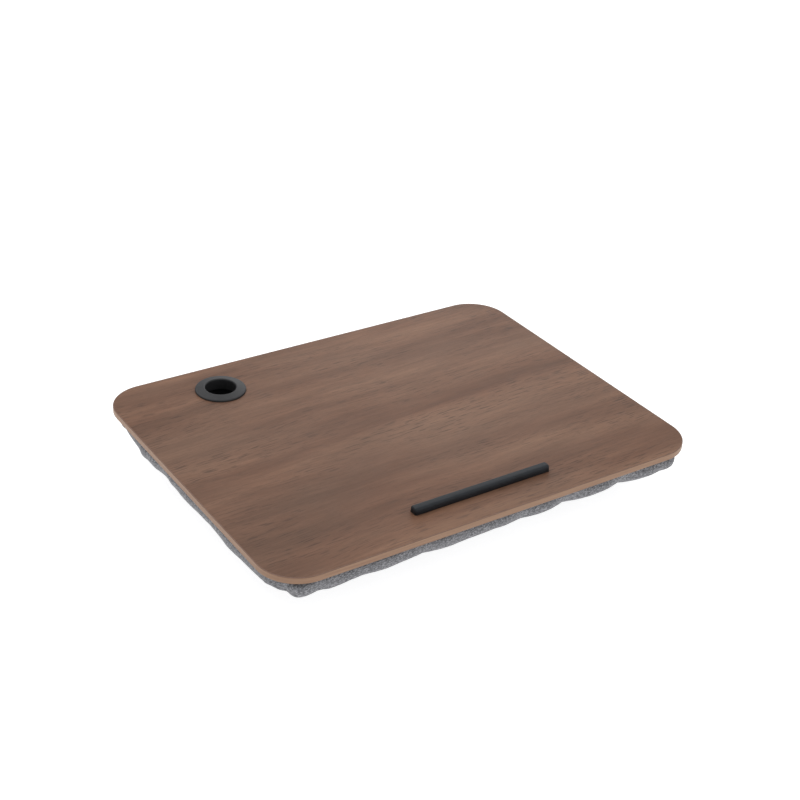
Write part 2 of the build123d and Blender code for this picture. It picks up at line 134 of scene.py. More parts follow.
class Finish:
    """A material and short ways to add nodes to it."""

    def __init__(self, name, **sockets):
        self.material = bpy.data.materials.new(name)
        self.material.use_nodes = True
        self.tree = self.material.node_tree
        self.shader = self.tree.nodes["Principled BSDF"]
        self.shader.inputs["Emission Color"].default_value = (1, 1, 1, 1)
        for socket, value in sockets.items():
            self.shader.inputs[socket.replace("_", " ")].default_value = value
        self.place = self.add("ShaderNodeTexCoord").outputs["Object"]

    def add(self, kind, inputs=None, **settings):
        """A node with its settings, and its inputs set or joined."""
        made = self.tree.nodes.new(kind)
        for setting, value in settings.items():
            setattr(made, setting, value)
        for socket, value in (inputs or {}).items():
            if isinstance(value, bpy.types.NodeSocket):
                self.tree.links.new(value, made.inputs[socket])
            else:
                made.inputs[socket].default_value = value
        return made

    def stretched(self, per_x, per_y, per_z, place=None, turn=(0, 0, 0)):
        """Coordinates scaled by so many cells in a metre each way."""
        inputs = {"Vector": place or self.place, "Scale": (per_x, per_y, per_z), "Rotation": turn}
        return self.add("ShaderNodeMapping", inputs).outputs["Vector"]

    def noise(self, *cells, detail=2.0, roughness=0.5, distortion=0.0, **turn):
        """Noise, stretched as given."""
        look = {"Detail": detail, "Roughness": roughness, "Distortion": distortion}
        inputs = {"Vector": self.stretched(*cells, **turn), "Scale": 1.0} | look
        return self.add("ShaderNodeTexNoise", inputs).outputs["Fac"]

    def cells(self, *cells):
        inputs = {"Vector": self.stretched(*cells), "Scale": 1.0}
        return self.add("ShaderNodeTexVoronoi", inputs).outputs["Distance"]

    def waves(self, scale, *degrees):
        """Bands across X, turned by so many degrees round each axis."""
        place = self.stretched(1, 1, 1, turn=[math.radians(angle) for angle in degrees])
        inputs = {"Vector": place, "Scale": scale}
        return self.add("ShaderNodeTexWave", inputs, bands_direction="X").outputs["Fac"]

    def ramp(self, factor, *stops):
        """A colour that changes along a factor."""
        made = self.add("ShaderNodeValToRGB", {"Fac": factor})
        band = made.color_ramp
        while len(band.elements) < len(stops):
            band.elements.new(0.5)
        for element, (position, shade) in zip(band.elements, stops):
            element.position = position
            element.color = shade if hasattr(shade, "__len__") else (shade, shade, shade, 1)
        return made.outputs["Color"]

    def mix(self, factor, first, second, blend_type="MIX"):
        inputs = {0: factor, 6: first, 7: second}
        made = self.add("ShaderNodeMix", inputs, data_type="RGBA", blend_type=blend_type)
        return made.outputs[2]

    def maths(self, operation, first, second=0.0):
        return self.add("ShaderNodeMath", {0: first, 1: second}, operation=operation).outputs[0]

    def spread(self, factor, low, high, from_low=0.0, from_high=1.0):
        """A factor spread from one range to another."""
        ends = {"From Min": from_low, "From Max": from_high, "To Min": low, "To Max": high}
        return self.add("ShaderNodeMapRange", {"Value": factor} | ends).outputs["Result"]

    def facing_up(self):
        """How far the surface faces up, from 0 where it is upright to 1 where it is level."""
        normal = self.add("ShaderNodeNewGeometry").outputs["Normal"]
        return self.add("ShaderNodeSeparateXYZ", {"Vector": normal}).outputs["Z"]

    def bump(self, height, distance, strength=1.0, under=None):
        inputs = {"Height": height, "Distance": distance, "Strength": strength}
        if under is not None:
            inputs["Normal"] = under
        return self.add("ShaderNodeBump", inputs).outputs["Normal"]

    def finish(self, shade=None, roughness=None, normal=None):
        given = {"Base Color": shade, "Roughness": roughness, "Normal": normal}
        for socket, value in given.items():
            if value is not None:
                self.tree.links.new(value, self.shader.inputs[socket])
        return self.material


# Materials


def walnut_laminate():
    """Walnut print on laminate: broad bands, figure and fine pores along X."""
    made = Finish("walnut_laminate", Roughness=0.55, Specular_IOR_Level=0.25)
    drift = made.noise(3, 7, 1)
    bend = made.add("ShaderNodeCombineXYZ", {"Y": made.spread(drift, -0.014, 0.014)}).outputs[0]
    place = made.add("ShaderNodeVectorMath", {0: made.place, 1: bend}).outputs[0]
    slanted = made.stretched(1, 1, 1, place, turn=(0, 0, math.radians(-2)))
    broad = made.noise(2.2, 17, 1, slanted, detail=3, roughness=0.55)
    figure = made.noise(6, 90, 1, slanted, detail=4, roughness=0.6)
    veins = made.noise(22, 330, 1, slanted, detail=3, roughness=0.6)
    streaks = made.noise(46, 560, 1, slanted, detail=1)
    pores = made.noise(130, 2400, 1, slanted)
    busy = made.noise(5, 22, 1, slanted)
    ground = made.ramp(
        broad,
        (0.32, colour(99, 69, 52)),
        (0.45, colour(116, 82, 63)),
        (0.56, colour(130, 95, 74)),
        (0.68, colour(146, 110, 87)),
    )
    tint = made.noise(4, 10, 1)
    ground = made.mix(made.spread(tint, 0, 0.6, 0.35, 0.65), ground, colour(124, 95, 77))
    for factor, low, high, strength in ((figure, 0.4, 0.6, 0.4), (veins, 0.4, 0.58, 0.4)):
        lit = made.ramp(factor, (0.36, low), (0.5, 0.5), (0.64, high))
        ground = made.mix(strength, ground, lit, "OVERLAY")
    ticks = made.ramp(streaks, (0.33, 0.5), (0.43, 1.0), (0.62, 1.0), (0.72, 1.1))
    ground = made.mix(made.spread(busy, 0.15, 1.0, 0.4, 0.6), ground, ticks, "MULTIPLY")
    pore = made.ramp(pores, (0.34, 0.6), (0.44, 1.0))
    ground = made.mix(0.5, ground, pore, "MULTIPLY")
    relief = made.maths("ADD", made.maths("MULTIPLY", streaks, 0.6), pores)
    return made.finish(
        ground,
        made.spread(streaks, 0.5, 0.66),
        made.bump(relief, 0.05 * mm, 0.5),
    )


def edge_band_plastic():
    """Tan plastic band with fine lengthwise print and a painted highlight along its top arris,
    under the edge of the top's own print.
    """
    made = Finish("edge_band_plastic", Roughness=0.45, Specular_IOR_Level=0.35)
    layers = made.noise(14, 14, 1500, detail=3, roughness=0.6)
    patches = made.noise(24, 24, 60, detail=3)
    shade = made.ramp(
        layers,
        (0.3, colour(131, 98, 77)),
        (0.52, colour(148, 116, 93)),
        (0.72, colour(161, 129, 105)),
    )
    shade = made.mix(made.spread(patches, 0, 0.4, 0.4, 0.7), shade, colour(157, 126, 102))
    rising = made.facing_up()
    # Painted highlight: a lighter tan along the rounded top arris, where the band turns from
    # upright towards level.
    painted_arris_highlight = made.ramp(rising, (0.0, 0.0), (0.2, 1.0), (0.45, 0.0))
    shade = made.mix(made.maths("MULTIPLY", painted_arris_highlight, 0.4), shade, colour(174, 143, 121))
    shade = made.mix(made.ramp(rising, (0.25, 0.0), (0.55, 1.0)), shade, colour(121, 91, 75))
    return made.finish(shade, made.spread(patches, 0.4, 0.54), made.bump(layers, 0.04 * mm, 0.5))


def heather_fabric(name, dark, mid, light, threads=1.0):
    """Woven melange: two thread directions, and flecks where a yarn is darker or lighter."""
    made = Finish(
        name, Roughness=0.95, Specular_IOR_Level=0.15, Sheen_Weight=0.2, Sheen_Roughness=0.6
    )
    fine, coarse = 1400 * threads, 420 * threads
    warp = made.noise(coarse, fine, fine, roughness=0.6)
    weft = made.noise(fine, coarse, coarse, roughness=0.6)
    turn = (0, math.radians(35), 0)
    flecks = made.noise(fine * 0.32, fine * 0.32, fine * 0.7, turn=turn, detail=1)
    yarns = made.maths("MULTIPLY", made.maths("ADD", warp, weft), 0.25)
    yarns = made.maths("ADD", yarns, made.maths("MULTIPLY", flecks, 0.5))
    shade = made.ramp(yarns, (0.4, dark), (0.49, mid), (0.52, mid), (0.6, light))
    knots = made.cells(1100, 1100, 1100)
    relief = made.maths("ADD", yarns, made.maths("MULTIPLY", knots, -0.35))
    return made.finish(shade, None, made.bump(relief, 0.35 * mm, 0.8))


def moulded_plastic(name, shade, roughness, grain=2600, painted_wall_shade_share=0.62):
    """Moulded plastic with a fine eroded grain and slight shine changes, and painted shade that
    darkens its upright walls.
    """
    made = Finish(name, Roughness=roughness, Specular_IOR_Level=0.35)
    grains = made.noise(grain, grain, grain)
    clouds = made.noise(60, 60, 60, detail=3)
    darker, lighter = (colour(*(part * share for part in shade)) for share in (0.93, 1.12))
    tone = made.ramp(clouds, (0.35, darker), (0.65, lighter))
    # Painted shade: upright walls darkened to a share of the tone, standing in for walls that get
    # less light.
    wall = made.ramp(made.facing_up(), (0.1, painted_wall_shade_share), (0.6, 1.0))
    tone = made.mix(1.0, tone, wall, "MULTIPLY")
    return made.finish(
        tone,
        made.spread(clouds, roughness - 0.06, roughness + 0.08),
        made.bump(grains, 0.03 * mm, 0.7),
    )


def fibreboard():
    made = Finish("fibreboard", Roughness=0.9)
    fibres = made.noise(900, 900, 4000, detail=4, roughness=0.7)
    shade = made.ramp(fibres, (0.35, colour(128, 98, 70)), (0.65, colour(170, 136, 102)))
    return made.finish(shade, None, made.bump(fibres, 0.1 * mm, 0.6))


def backing_sheet():
    """Plain paper backing with sparse fibre flecks."""
    made = Finish("backing_sheet", Roughness=0.6)
    flecks = made.noise(700, 2200, 1, detail=3, roughness=0.7)
    clouds = made.noise(18, 18, 1, detail=3)
    shade = made.ramp(clouds, (0.3, colour(84, 76, 70)), (0.7, colour(98, 89, 82)))
    fleck = made.ramp(flecks, (0.3, 0.72), (0.45, 1.0))
    shade = made.mix(0.6, shade, fleck, "MULTIPLY")
    return made.finish(shade, None, made.bump(flecks, 0.03 * mm, 0.5))


def hook_and_loop(name, low, high, pitch):
    """Rows of hooks or a nap of loops, by cells of their pitch."""
    made = Finish(name, Roughness=0.85, Sheen_Weight=0.3)
    cells = made.cells(pitch, pitch, pitch * 0.4)
    fuzz = made.noise(pitch * 2, pitch * 2, pitch, detail=3)
    rows = made.ramp(cells, (0.1, high), (0.7, low))
    shade = made.mix(0.4, rows, made.ramp(fuzz, (0.35, low), (0.65, high)))
    return made.finish(shade, None, made.bump(cells, -0.4 * mm, 0.9))


def woven_tape(name, dark, light):
    """Herringbone-like tape: slanted ribs that change direction from row to row."""
    made = Finish(name, Roughness=0.85, Sheen_Weight=0.2)
    ribs = made.maths("MULTIPLY", made.waves(260, 0, 35, 0), made.waves(260, 0, -35, 0))
    yarns = made.noise(1500, 1500, 1500)
    relief = made.maths("ADD", ribs, made.maths("MULTIPLY", yarns, 0.5))
    return made.finish(
        made.ramp(relief, (0.3, dark), (1.0, light)), None, made.bump(relief, 0.15 * mm, 0.8)
    )


def zip_alloy():
    """Cast zinc with a brushed face and a cloudy tone."""
    made = Finish("zip_alloy", Roughness=0.32, Metallic=1.0)
    brushed = made.noise(300, 4000, 4000, detail=3)
    clouds = made.noise(500, 500, 500, detail=3)
    shade = made.ramp(clouds, (0.35, colour(128, 129, 132)), (0.65, colour(158, 159, 162)))
    return made.finish(shade, made.spread(brushed, 0.24, 0.46), made.bump(brushed, 0.02 * mm, 0.6))


def sewing_thread(name, dark, light):
    made = Finish(name, Roughness=0.7, Sheen_Weight=0.3)
    twist = made.waves(900, 0, 40, 20)
    shade = made.ramp(twist, (0.2, dark), (0.8, light))
    return made.finish(shade, None, made.bump(twist, 0.08 * mm, 0.8))


def padding(name, low, high):
    """Loose fibre filling."""
    made = Finish(name, Roughness=1.0)
    fibres = made.noise(500, 500, 500, detail=5, roughness=0.7, distortion=2.0)
    shade = made.ramp(fibres, (0.35, low), (0.65, high))
    return made.finish(shade, None, made.bump(fibres, 1 * mm, 0.8))


# Threads of the hidden cloths in a width, against the cover's own

lining_threads = 1.6

walnut = walnut_laminate()
band = edge_band_plastic()
heather = heather_fabric(
    "heather_fabric", colour(75, 76, 79), colour(116, 116, 120), colour(157, 157, 161)
)
lining = heather_fabric(
    "lining_fabric", colour(60, 62, 66), colour(74, 76, 80), colour(90, 92, 96), lining_threads
)
bag_cloth = heather_fabric(
    "bag_cloth",
    colour(190, 190, 188),
    colour(206, 206, 204),
    colour(222, 222, 220),
    lining_threads,
)
pocket_cloth = heather_fabric(
    "pocket_cloth", colour(14, 14, 15), colour(20, 20, 22), colour(28, 28, 30), lining_threads
)
grommet_plastic = moulded_plastic("grommet_plastic", (46, 46, 48), 0.55)
ring_plastic = moulded_plastic("ring_plastic", (42, 42, 44), 0.55)
strip_rubber = moulded_plastic("strip_rubber", (33, 37, 42), 0.62, 3400, 1.0)
adhesive = moulded_plastic("adhesive_foam", (178, 178, 172), 0.8, 900)
core_board = fibreboard()
backing = backing_sheet()
hooks = hook_and_loop("hook_tape", colour(16, 16, 17), colour(46, 46, 48), 700)
loops = hook_and_loop("loop_tape", colour(22, 22, 24), colour(52, 52, 55), 1100)
zip_ribbon = woven_tape("zip_ribbon", colour(52, 54, 58), colour(86, 88, 93))
coil_nylon = moulded_plastic("coil_nylon", (74, 76, 80), 0.4, 3000)
alloy = zip_alloy()
thread = sewing_thread("sewing_thread", colour(92, 94, 98), colour(138, 140, 145))
fibre_fill = padding("fibre_fill", colour(214, 213, 208), colour(240, 239, 235))

carried_over = {
    "board_core": core_board,
    "top_laminate": walnut,
    "bottom_laminate": backing,
    "edge_band": band,
    "cable_grommet": grommet_plastic,
    "grommet_lock_ring": ring_plastic,
    "zip_bottom_stop": alloy,
    "zip_top_stops": alloy,
    "zip_slider": alloy,
    "zip_pull_tab": alloy,
}

for name, material in carried_over.items():
    mesh = nodes[name].data
    if not mesh.materials:
        mesh.materials.append(material)
    for slot in nodes[name].material_slots:
        slot.material = material


# Mesh making


def new_object(name, data):
    """A new object in the scene."""
    made = bpy.data.objects.new(name, data)
    bpy.context.scene.collection.objects.link(made)
    return made


def mesh_piece(name, points, faces, material):
    """A new smooth mesh object from points and faces."""
    mesh = bpy.data.meshes.new(name)
    mesh.from_pydata([tuple(point) for point in points], [], faces)
    mesh.materials.append(material)
    mesh.validate()
    for face in mesh.polygons:
        face.use_smooth = True
    return new_object(name, mesh)


def make_real(piece):
    """Applies a piece's modifiers to its mesh."""
    bpy.context.view_layer.update()
    shaped = piece.evaluated_get(bpy.context.evaluated_depsgraph_get())
    mesh = bpy.data.meshes.new_from_object(shaped)
    piece.modifiers.clear()
    piece.data = mesh


def tidy_normals(piece):
    """Turns all faces outwards."""
    shape = bmesh.new()
    shape.from_mesh(piece.data)
    bmesh.ops.remove_doubles(shape, verts=shape.verts, dist=1e-6)
    bmesh.ops.recalc_face_normals(shape, faces=shape.faces)
    shape.to_mesh(piece.data)
    shape.free()


# The cushion's outline and profile


def bulge(share, first, second):
    """Draw-in between two gathers of given depth: none half way, each its own at its end."""
    return first * (1 - 2 * share) * (1 - share) + second * share * (2 * share - 1)


def cushion_profile(top_depth):
    """Depth below the top, inset, lean of the normal from level, and share of the gathers.

    Two of its rows are the edges of the zip's slot.
    """
    slot_top = cushion_top - zip_z - zip_half_slot_height
    slot_bottom = slot_top + 2 * zip_half_slot_height
    depths = [top_depth, slot_top]
    depths += [
        slot_top + (rim_depth - slot_top) * step / wall_rows for step in range(1, wall_rows + 1)
    ]
    profile = []
    for depth in depths:
        share = (depth - top_depth) / (rim_depth - top_depth)
        profile.append((depth, bulge(share, seam_inset, rim_inset), 0, depth / rim_depth))
    crown_drop = cushion_top + base_cut - rim_depth - rim_radius
    crown_slope = crown_drop * math.pi / 2 / crown_reach
    shoulder_turn = math.pi / 2 - math.atan(crown_slope)
    slot_turn = math.asin((slot_bottom - rim_depth) / rim_radius)
    for turn in (slot_turn / 2, slot_turn, (slot_turn + shoulder_turn) / 2, shoulder_turn):
        inset = rim_inset + rim_radius * (1 - math.cos(turn))
        profile.append((rim_depth + rim_radius * math.sin(turn), inset, turn, 1))
    shoulder_depth, shoulder_inset = profile[-1][:2]
    crown_drop = cushion_top + base_cut - shoulder_depth
    base_turn = math.asin((crown_drop - base_cut) / crown_drop)
    for step in range(1, crown_rows + 1):
        turn = base_turn * step / crown_rows
        share = turn / (math.pi / 2)
        slope = crown_drop / crown_reach * math.pi / 2 * math.cos(turn)
        depth = shoulder_depth + crown_drop * math.sin(turn)
        inset = shoulder_inset + crown_reach * share
        lean = math.pi / 2 - math.atan(slope)
        profile.append((depth, inset, lean, 1 - gather_fade * share))
    return profile


def cushion_ring(height, inset, back_inset, gather, draw_in):
    """One outline of the cushion, as points that start half way round its front left corner."""
    half_x = half_length - inset
    front_y = front_wall + inset
    back_y = back_wall - back_inset
    middle_y = (front_y + back_y) / 2
    straight_x = half_x - corner_radius
    straight_y = (back_y - front_y) / 2 - corner_radius
    full_x = half_length - corner_radius
    full_y = half_depth - corner_radius
    sides = (
        ((0, front_y), (1, 0), straight_x, full_x, front_gathers, front_columns),
        ((half_x, middle_y), (0, 1), straight_y, full_y, right_gathers, side_columns),
        ((0, back_y), (-1, 0), straight_x, full_x, (), front_columns),
        ((-half_x, middle_y), (0, -1), straight_y, full_y, left_gathers, side_columns),
    )
    points = []
    for number, (middle, along, straight, full, gathers, columns) in enumerate(sides):
        inward = (-along[1], along[0])
        next_gathers = sides[(number + 1) % 4][4]
        start_depth = gather * corner_end_gather if gathers else 0
        next_depth = gather * corner_end_gather if next_gathers else 0
        stops = [(-1, start_depth)]
        stops += [(place * mm / full, gather * share) for place, share in gathers]
        stops += [(1, start_depth)]
        for column in range(columns):
            share = 2 * column / columns - 1
            depth = 0
            for (start, first), (end, second) in zip(stops, stops[1:]):
                if start <= share <= end:
                    depth = bulge((share - start) / (end - start), first, second)
            depth += draw_in * (1 - share**2) if gathers else 0
            x = middle[0] + along[0] * share * straight + inward[0] * depth
            y = middle[1] + along[1] * share * straight + inward[1] * depth
            points.append((x, y, height))
        centre_x = middle[0] + along[0] * straight + inward[0] * corner_radius
        centre_y = middle[1] + along[1] * straight + inward[1] * corner_radius
        for column in range(2 * half_corner_columns):
            share = column / half_corner_columns
            if share < 1:
                depth = bulge(share, start_depth, gather * corner_gather)
            else:
                depth = bulge(share - 1, gather * corner_gather, next_depth)
            turn = math.radians(45 * share)
            reach = corner_radius - depth
            way_x = -inward[0] * math.cos(turn) + along[0] * math.sin(turn)
            way_y = -inward[1] * math.cos(turn) + along[1] * math.sin(turn)
            points.append((centre_x + way_x * reach, centre_y + way_y * reach, height))
    return points[-half_corner_columns:] + points[:-half_corner_columns]


def bridge(first, second, ring):
    """Quads between two rings of points, given the numbers of their first points."""
    return [
        (first + i, second + i, second + (i + 1) % ring, first + (i + 1) % ring)
        for i in range(ring)
    ]


def sleeve(ring, rows, first=0):
    """Quads along rings of points that follow each other."""
    starts = range(first, first + (rows - 1) * ring, ring)
    return [quad for start in starts for quad in bridge(start, start + ring, ring)]


def cap(first, ring):
    """One face across a ring of points."""
    return tuple(range(first, first + ring))


def circle(centre, first_way, second_way, radius, sides):
    """A ring of points round a centre, across two directions."""
    angles = [math.tau * corner / sides for corner in range(sides)]
    return [
        centre + (first_way * math.cos(angle) + second_way * math.sin(angle)) * radius
        for angle in angles
    ]


def ring_cover(points, first, facing):
    """Quads across a ring of points: a grid between its four sides. Adds the grid's own points."""
    across = front_columns + 2 * half_corner_columns
    along = side_columns + 2 * half_corner_columns
    ring = 2 * (across + along)
    outline = [Vector(point) for point in points[first : first + ring]]
    grid = {}
    for i in range(across + 1):
        grid[i, 0] = first + i
        grid[i, along] = first + (2 * across + along - i) % ring
    for j in range(along + 1):
        grid[across, j] = first + across + j
        grid[0, j] = first + (ring - j) % ring

    def edge(i, j):
        return outline[grid[i, j] - first]

    for i in range(1, across):
        for j in range(1, along):
            u, v = i / across, j / along
            point = (1 - v) * edge(i, 0) + v * edge(i, along)
            point += (1 - u) * edge(0, j) + u * edge(across, j)
            point -= (1 - u) * (1 - v) * edge(0, 0) + u * (1 - v) * edge(across, 0)
            point -= (1 - u) * v * edge(0, along) + u * v * edge(across, along)
            grid[i, j] = len(points)
            points.append(tuple(point))
    faces = []
    for i in range(across):
        for j in range(along):
            quad = (grid[i, j], grid[i, j + 1], grid[i + 1, j + 1], grid[i + 1, j])
            faces.append(quad if facing < 0 else quad[::-1])
    return faces


def cushion_skin(shrink, top_depth):
    """The points and quads of the cushion's skin, from its top seam down and across its base."""
    points = []
    profile = cushion_profile(top_depth)
    for depth, inset, lean, gather in profile:
        points += cushion_ring(
            cushion_top - depth + shrink * math.sin(lean),
            inset + shrink * math.cos(lean),
            max(inset - back_fullness, 0) + shrink,
            gather_depth * gather,
            side_draw_in,
        )
    ring = len(points) // len(profile)
    faces = sleeve(ring, len(profile))
    faces += ring_cover(points, len(points) - ring, -1)
    return points, faces, ring


# How far the cover's cloth starts inside its form, how far it may swell from there, the share
# of any inward move that stays, how slack it is cut, and the simulation's pressure and length

cover_start = 0.3 * mm
cover_swell = 4 * mm
sink_share = 0.1
cover_slack = 0.03
swell_pressure = 4.0
swell_frames = 20


def swell(piece, pinned):
    """Lets the cloth of a piece swell outwards from its form, by a simulation that it applies."""
    start = [vertex.co.copy() for vertex in piece.data.vertices]
    normals = [vertex.normal.copy() for vertex in piece.data.vertices]
    held = piece.vertex_groups.new(name="held")
    for number, weight in pinned.items():
        held.add([number], weight, "REPLACE")
    cloth = piece.modifiers.new("cloth", "CLOTH")
    settings = cloth.settings
    settings.quality = 5
    settings.mass = 0.25
    settings.tension_stiffness = 12
    settings.compression_stiffness = 12
    settings.shear_stiffness = 4
    settings.bending_stiffness = 0.15
    settings.use_pressure = True
    settings.uniform_pressure_force = swell_pressure
    settings.shrink_min = -cover_slack
    settings.vertex_group_mass = "held"
    settings.effector_weights.gravity = 0
    cloth.collision_settings.use_collision = False
    scene = bpy.context.scene
    scene.frame_start, scene.frame_end = 1, swell_frames
    for number in range(1, swell_frames + 1):
        scene.frame_set(number)
    shaped = piece.evaluated_get(bpy.context.evaluated_depsgraph_get())
    ends = [vertex.co.copy() for vertex in shaped.data.vertices]
    piece.modifiers.clear()
    scene.frame_set(1)
    for vertex, before, after, normal in zip(piece.data.vertices, start, ends, normals):
        move = after - before
        outwards = move.dot(normal)
        if outwards < 0:
            move -= normal * outwards * (1 - sink_share)
        if move.length > cover_swell:
            move *= cover_swell / move.length
        vertex.co = before + move
        vertex.co.z = max(vertex.co.z, 0)
    piece.data.update()


# Creases that run down from each gather: they start and end at these depths below the top, and
# grow apart with the depth

crease_depth = 0.6 * mm
crease_pitch = 9 * mm
crease_reach = 16 * mm
crease_start = 4 * mm
crease_end = 34 * mm
crease_fan = 26 * mm
crumple_depth = 0.2 * mm
crumples_per_metre = 90

# How many times its reach away from its middle a crease or a fullness still counts

crease_reaches = 3
fullness_reaches = 4

# Where the filling stands out further, or less far, than the gathers leave it, down to full_end
# below the top: place on the rim, the way along it, the reach along it and the push outwards

full_end = 46 * mm
front_way, left_way = Vector((1, 0)), Vector((0, -1))
fullnesses = [
    (Vector((x, y)) * mm, way.normalized(), reach * mm, push * mm)
    for x, y, way, reach, push in (
        (-261, 103, left_way, 8, 2.6),
        (-261, 78, left_way, 22, 3.5),
        (-261, 38, left_way, 12, 3.0),
        (-261, 5, left_way, 26, 2.5),
        (-261, -48, left_way, 16, 2.2),
        (-261, -88, left_way, 22, 2.5),
        (-256, 172, left_way, 28, -4.5),
        (-260, -172, Vector((0.2, -1)), 10, -4.5),
        (-240, -196, Vector((1, -0.5)), 10, 5.0),
        (-150, -201, front_way, 30, 1.3),
        (-72, -201, front_way, 26, 2.8),
        (8, -201, front_way, 14, 1.2),
        (172, -201, front_way, 12, -1.5),
    )
]


def gather_anchors():
    """Each gather's place on the cushion's rim, the way along the rim there, and its share."""
    middle_y = (front_wall + back_wall) / 2
    anchors = [
        (Vector((place * mm, front_wall)), front_way, share) for place, share in front_gathers
    ]
    for side, way, gathers in ((1, 1, right_gathers), (-1, -1, left_gathers)):
        for place, share in gathers:
            at = Vector((side * half_length, middle_y + way * place * mm))
            anchors.append((at, Vector((0, way)), share))
    outward = corner_radius * math.sqrt(0.5)
    for x_way in (-1, 1):
        for y_way, wall in ((-1, front_wall), (1, back_wall)):
            x = x_way * (half_length - corner_radius + outward)
            at = Vector((x, wall - y_way * (corner_radius - outward)))
            anchors.append((at, Vector((x_way, -y_way)).normalized(), corner_gather))
    return anchors


def crease(piece):
    """Draws the creases into a piece, inwards along its normals."""
    anchors = gather_anchors()
    normals = [vertex.normal.copy() for vertex in piece.data.vertices]
    for vertex, normal in zip(piece.data.vertices, normals):
        depth = cushion_top - vertex.co.z
        if depth > full_end:
            continue
        fade = min(depth / crease_start, 1) * max(1 - depth / crease_end, 0)
        draw = crumple_depth * abs(noise.noise(vertex.co * crumples_per_metre))
        for at, along, share in anchors:
            offset = vertex.co.xy - at
            if offset.length < crease_reaches * crease_reach:
                run = offset.dot(along)
                pitch = crease_pitch * (1 + depth / crease_fan)
                wave = 0.5 + 0.5 * math.cos(math.tau * run / pitch)
                draw += crease_depth * share * wave * math.exp(-((run / crease_reach) ** 2))
        draw *= fade
        full_fade = min(depth / crease_start, 1) * (1 - depth / full_end)
        for at, along, reach, push in fullnesses:
            offset = vertex.co.xy - at
            if offset.length < fullness_reaches * reach:
                run = offset.dot(along) / reach
                draw -= push * full_fade * math.exp(-(run**2))
        if zip_slot_distance(vertex.co) > 0:
            vertex.co -= normal * draw
            vertex.co.z = max(vertex.co.z, 0)


def zip_slot_distance(point):
    """How far a point of the back wall is outside the stiff border of the zip's slot."""
    if point.y < back_wall - zip_point_reach:
        return 1
    outside_x = abs(point.x) - zip_half_slot
    outside_z = abs(point.z - zip_z) - zip_half_slot_height
    return max(outside_x - zip_slot_border, outside_z - zip_slot_border)


def drop_faces(piece, unwanted):
    """Takes out the faces that a test names, and the edges and points that only they had."""
    shape = bmesh.new()
    shape.from_mesh(piece.data)
    faces = [face for face in shape.faces if unwanted(face.calc_center_median())]
    bmesh.ops.delete(shape, geom=faces, context="FACES")
    shape.to_mesh(piece.data)
    shape.free()


def in_zip_slot(centre):
    return (
        centre.y > back_wall - zip_face_reach
        and abs(centre.x) < zip_half_slot
        and abs(centre.z - zip_z) < zip_half_slot_height
    )


def refine(piece):
    smooth = piece.modifiers.new("smooth", "SUBSURF")
    smooth.levels = smooth.render_levels = 1
    make_real(piece)


def thicken(piece, thickness):
    """Gives a cloth its thickness, inwards."""
    solid = piece.modifiers.new("thickness", "SOLIDIFY")
    solid.thickness = thickness
    solid.offset = -1
    make_real(piece)
    tidy_normals(piece)


def place_piece(piece, node):
    """The piece rides on the desk and stands for a node of the frame, which it hides."""
    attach(piece, desk)
    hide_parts(node)


# How firmly the cover is held in the simulation just under its top seam

upper_hold = 0.35


def dress_cover():
    """The cover: gathered and swollen cloth with a slot for the zip and a cloth's thickness."""
    points, faces, ring = cushion_skin(cover_start, cushion_top - panel_low.z)
    pinned = {number: 1.0 for number in range(ring)}
    upper_rows = wall_rows + 2
    for number in range(ring, upper_rows * ring):
        pinned[number] = upper_hold * (1 - number / ring / upper_rows)
    for number, point in enumerate(points):
        point = Vector(point)
        if point.z < cover_start + base_cut:
            pinned[number] = 1.0
        if zip_slot_distance(point) <= 0:
            points[number] = (point.x, back_wall, point.z)
            pinned[number] = 1.0
    piece = mesh_piece("cushion_cover_fabric", points, faces, heather)
    swell(piece, pinned)
    drop_faces(piece, in_zip_slot)
    refine(piece)
    crease(piece)
    thicken(piece, cover_thickness)
    place_piece(piece, "cushion_cover")


dress_cover()

# The top panel's slack between its strips

slack_depth = 0.12 * mm
slacks_per_metre = 60

# How much thinner the panel's and the pocket's cloth are than their solids

cloth_gap = 0.15 * mm


def dress_panel():
    """The top panel: stretched cloth with a hole for the pocket, a little slack in places."""
    thickness = panel_high.z - panel_low.z
    depth = thickness / rim_depth
    points = cushion_ring(cushion_top, seam_inset, 0, gather_depth * depth, side_draw_in)
    faces = ring_cover(points, 0, 1)
    piece = mesh_piece("cushion_top_panel_fabric", points, faces, lining)
    drop_faces(piece, lambda centre: (centre.xy - grommet_axis).length < pocket_mouth_radius)
    shape = bmesh.new()
    shape.from_mesh(piece.data)
    for vertex in shape.verts:
        offset = vertex.co.xy - grommet_axis
        if vertex.is_boundary and offset.length < 2 * pocket_mouth_radius:
            vertex.co.xy = grommet_axis + offset.normalized() * pocket_mouth_radius
        vertex.co.z -= slack_depth * abs(noise.noise(vertex.co * slacks_per_metre))
    shape.to_mesh(piece.data)
    shape.free()
    thicken(piece, thickness - cloth_gap)
    place_piece(piece, "cushion_top_panel")


# The pillow's hollow under the pocket, its ruffles, and how far bag and filling stay inside

hollow_rim = 40 * mm
hollow_floor = 27 * mm
ruffle_depth = 0.8 * mm
ruffles_per_metre = 35
bag_inside = 0.2 * mm
filling_inside = bag_thickness + layer_gap + 0.3 * mm


